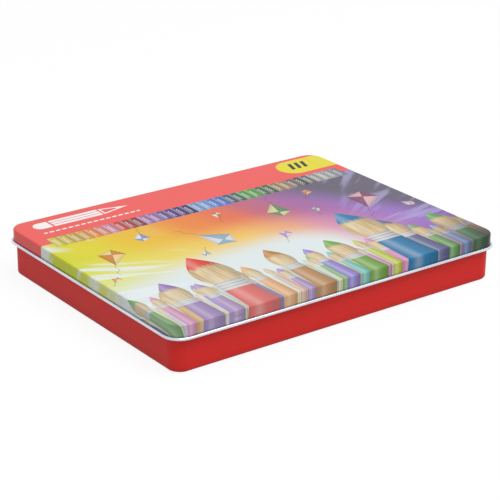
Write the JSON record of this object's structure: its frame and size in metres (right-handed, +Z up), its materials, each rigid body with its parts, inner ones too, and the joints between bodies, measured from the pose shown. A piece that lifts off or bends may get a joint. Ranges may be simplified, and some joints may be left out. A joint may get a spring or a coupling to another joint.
{
  "type": "pencil tin",
  "caption": "Flat hinged tinplate box with a curled-edge lid over two stacked plastic trays of hexagonal coloured pencils.",
  "frame": {"origin": "middle of the face that the tin stands on", "axes": "+X along the row of pencils, +Y towards the hinge at the back, +Z up"},
  "size_m": [0.2798, 0.2138, 0.0345],
  "materials": {
    "red_print": "gloss",
    "lid_print": "gloss",
    "bare_wire": "satin",
    "foam": "matte",
    "tray_plastic": "satin",
    "lemon_paint": "gloss",
    "lemon_pigment": "satin",
    "yellow_paint": "gloss",
    "yellow_pigment": "satin",
    "orange_paint": "gloss",
    "orange_pigment": "satin",
    "scarlet_paint": "gloss",
    "scarlet_pigment": "satin",
    "rose_paint": "gloss",
    "rose_pigment": "satin",
    "magenta_paint": "gloss",
    "magenta_pigment": "satin",
    "violet_paint": "gloss",
    "violet_pigment": "satin",
    "indigo_paint": "gloss",
    "indigo_pigment": "satin",
    "blue_paint": "gloss",
    "blue_pigment": "satin",
    "sky_paint": "gloss",
    "sky_pigment": "satin",
    "turquoise_paint": "gloss",
    "turquoise_pigment": "satin",
    "green_paint": "gloss",
    "green_pigment": "satin",
    "lime_paint": "gloss",
    "lime_pigment": "satin",
    "olive_paint": "gloss",
    "olive_pigment": "satin",
    "forest_paint": "gloss",
    "forest_pigment": "satin",
    "teal_paint": "gloss",
    "teal_pigment": "satin",
    "navy_paint": "gloss",
    "navy_pigment": "satin",
    "plum_paint": "gloss",
    "plum_pigment": "satin",
    "maroon_paint": "gloss",
    "maroon_pigment": "satin",
    "rust_paint": "gloss",
    "rust_pigment": "satin",
    "ochre_paint": "gloss",
    "ochre_pigment": "satin",
    "brown_paint": "gloss",
    "brown_pigment": "satin",
    "grey_paint": "gloss",
    "grey_pigment": "satin",
    "black_paint": "gloss",
    "black_pigment": "satin"
  },
  "bodies": {
    "base": {"base_shell": "red_print"},
    "lid": {"lid_shell": "lid_print", "hinge_pin_left": "bare_wire", "hinge_pin_right": "bare_wire", "foam_pad": "foam"},
    "upper_tray": {"upper_tray": "tray_plastic", "lemon_barrels": "lemon_paint", "lemon_cores": "lemon_pigment", "yellow_barrels": "yellow_paint", "yellow_cores": "yellow_pigment", "orange_barrels": "orange_paint", "orange_cores": "orange_pigment", "scarlet_barrels": "scarlet_paint", "scarlet_cores": "scarlet_pigment", "rose_barrels": "rose_paint", "rose_cores": "rose_pigment", "magenta_barrels": "magenta_paint", "magenta_cores": "magenta_pigment", "violet_barrels": "violet_paint", "violet_cores": "violet_pigment", "indigo_barrels": "indigo_paint", "indigo_cores": "indigo_pigment", "blue_barrels": "blue_paint", "blue_cores": "blue_pigment", "sky_barrels": "sky_paint", "sky_cores": "sky_pigment", "turquoise_barrels": "turquoise_paint", "turquoise_cores": "turquoise_pigment", "green_barrels": "green_paint", "green_cores": "green_pigment"},
    "lower_tray": {"lower_tray": "tray_plastic", "lime_barrels": "lime_paint", "lime_cores": "lime_pigment", "olive_barrels": "olive_paint", "olive_cores": "olive_pigment", "forest_barrels": "forest_paint", "forest_cores": "forest_pigment", "teal_barrels": "teal_paint", "teal_cores": "teal_pigment", "navy_barrels": "navy_paint", "navy_cores": "navy_pigment", "plum_barrels": "plum_paint", "plum_cores": "plum_pigment", "maroon_barrels": "maroon_paint", "maroon_cores": "maroon_pigment", "rust_barrels": "rust_paint", "rust_cores": "rust_pigment", "ochre_barrels": "ochre_paint", "ochre_cores": "ochre_pigment", "brown_barrels": "brown_paint", "brown_cores": "brown_pigment", "grey_barrels": "grey_paint", "grey_cores": "grey_pigment", "black_barrels": "black_paint", "black_cores": "black_pigment"}
  },
  "joints": [
    {"name": "lid_hinge", "type": "hinge", "parent": "base", "child": "lid", "pos_m": [0, 0.10578, 0.02503], "axis": [-1, 0, 0], "range_deg": [0, 180]},
    {"name": "upper_tray_lift", "type": "slide", "parent": "base", "child": "upper_tray", "axis": [0, 0, 1], "range_m": [0, 0.0396]},
    {"name": "lower_tray_lift", "type": "slide", "parent": "base", "child": "lower_tray", "axis": [0, 0, 1], "range_m": [0, 0.0324]}
  ],
  "couplings": [
    {"joint": "upper_tray_lift", "follows": "lid_hinge", "m_per_rad": 0.0126},
    {"joint": "lower_tray_lift", "follows": "lid_hinge", "m_per_rad": 0.0103}
  ]
}
